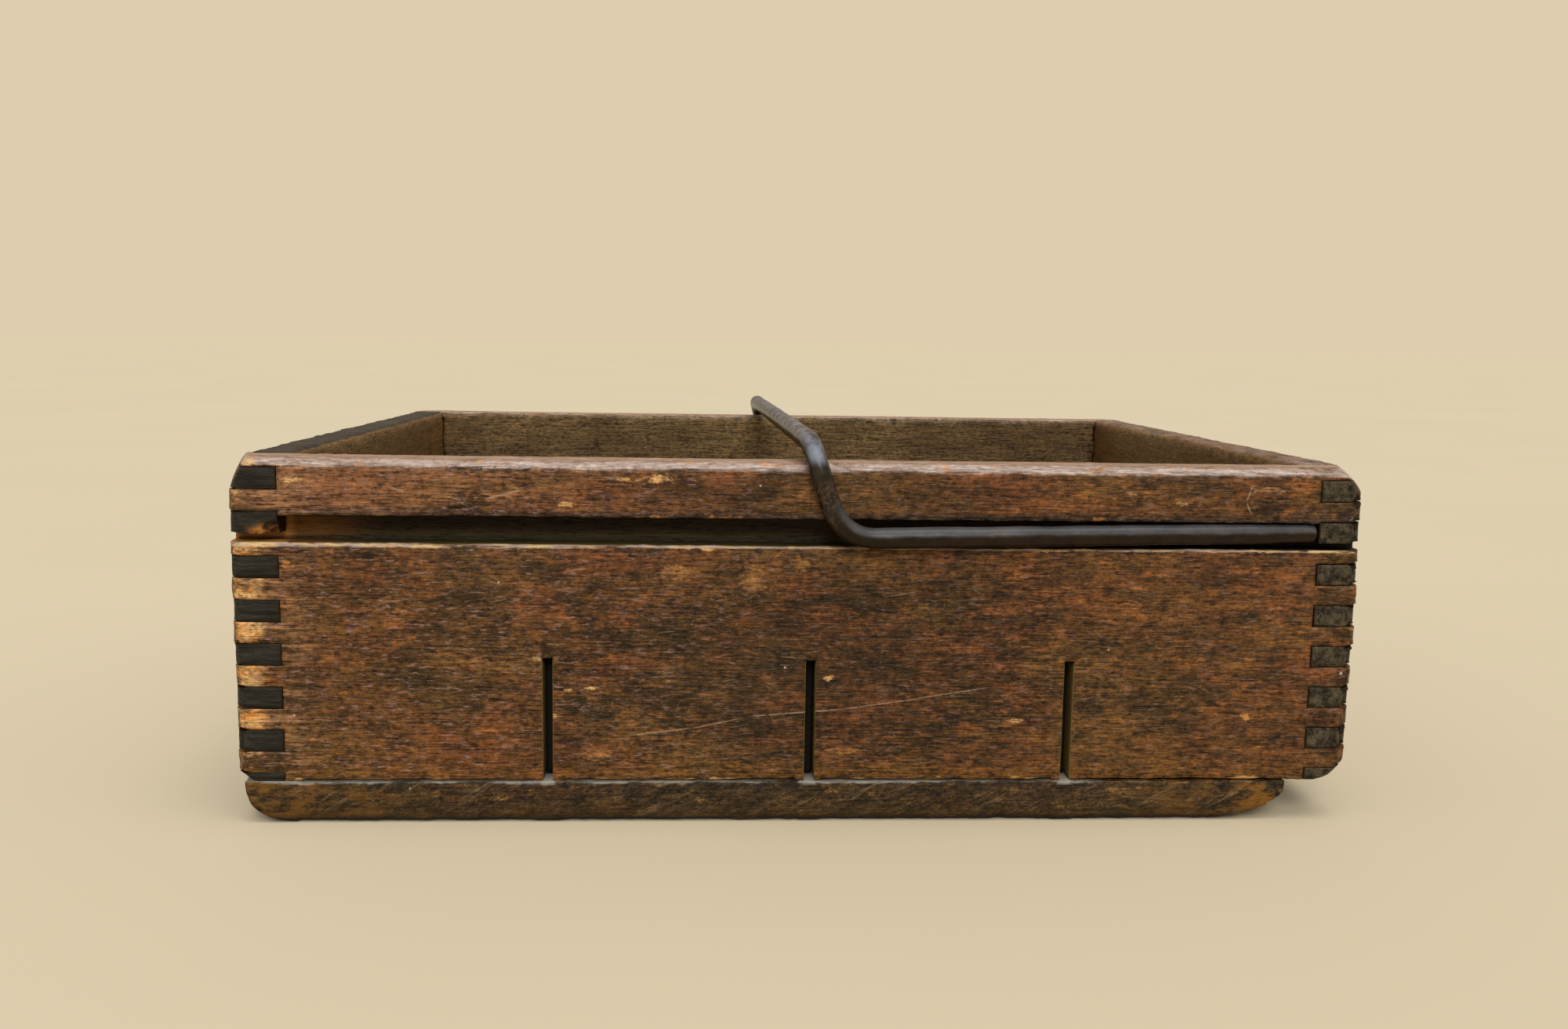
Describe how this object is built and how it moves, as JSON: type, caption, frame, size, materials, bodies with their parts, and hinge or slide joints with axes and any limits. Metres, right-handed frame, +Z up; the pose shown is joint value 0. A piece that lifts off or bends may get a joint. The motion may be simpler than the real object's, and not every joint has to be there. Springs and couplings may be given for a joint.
{
  "type": "egg carrier crate",
  "caption": "Open wooden box with finger-jointed corners, crossed divider strips that make egg cells, and a wire bail that slides along a groove in each long side.",
  "frame": {"origin": "on the floor under the middle of the box", "axes": "+X along the long sides, towards the end where the bail's arms stop; +Z up; the front side faces -Y"},
  "size_m": [0.2222, 0.1796, 0.0794],
  "materials": {
    "side_wood": "old reddish-brown stain, worn to bare wood on edges",
    "end_wood": "old brown stain, end grain almost black with grime",
    "bottom_wood": "dark sawn wood, grimy",
    "strip_wood": "bare wood, dusty",
    "nail_steel": "dull, lightly rusted",
    "wire_steel": "dark satin steel with rust patches"
  },
  "bodies": {
    "crate": {"front_side": "side_wood", "back_side": "side_wood", "left_end": "end_wood", "right_end": "end_wood", "bottom_board": "bottom_wood", "cross_divider_left": "strip_wood", "cross_divider_centre": "strip_wood", "cross_divider_right": "strip_wood", "long_divider_front": "strip_wood", "long_divider_back": "strip_wood", "bottom_nails": "nail_steel"},
    "bail": {"bail": "wire_steel"}
  },
  "joints": [
    {"name": "bail_slide", "type": "slide", "parent": "crate", "child": "bail", "axis": [-1, 0, 0], "range_m": [0, 0.105]}
  ]
}
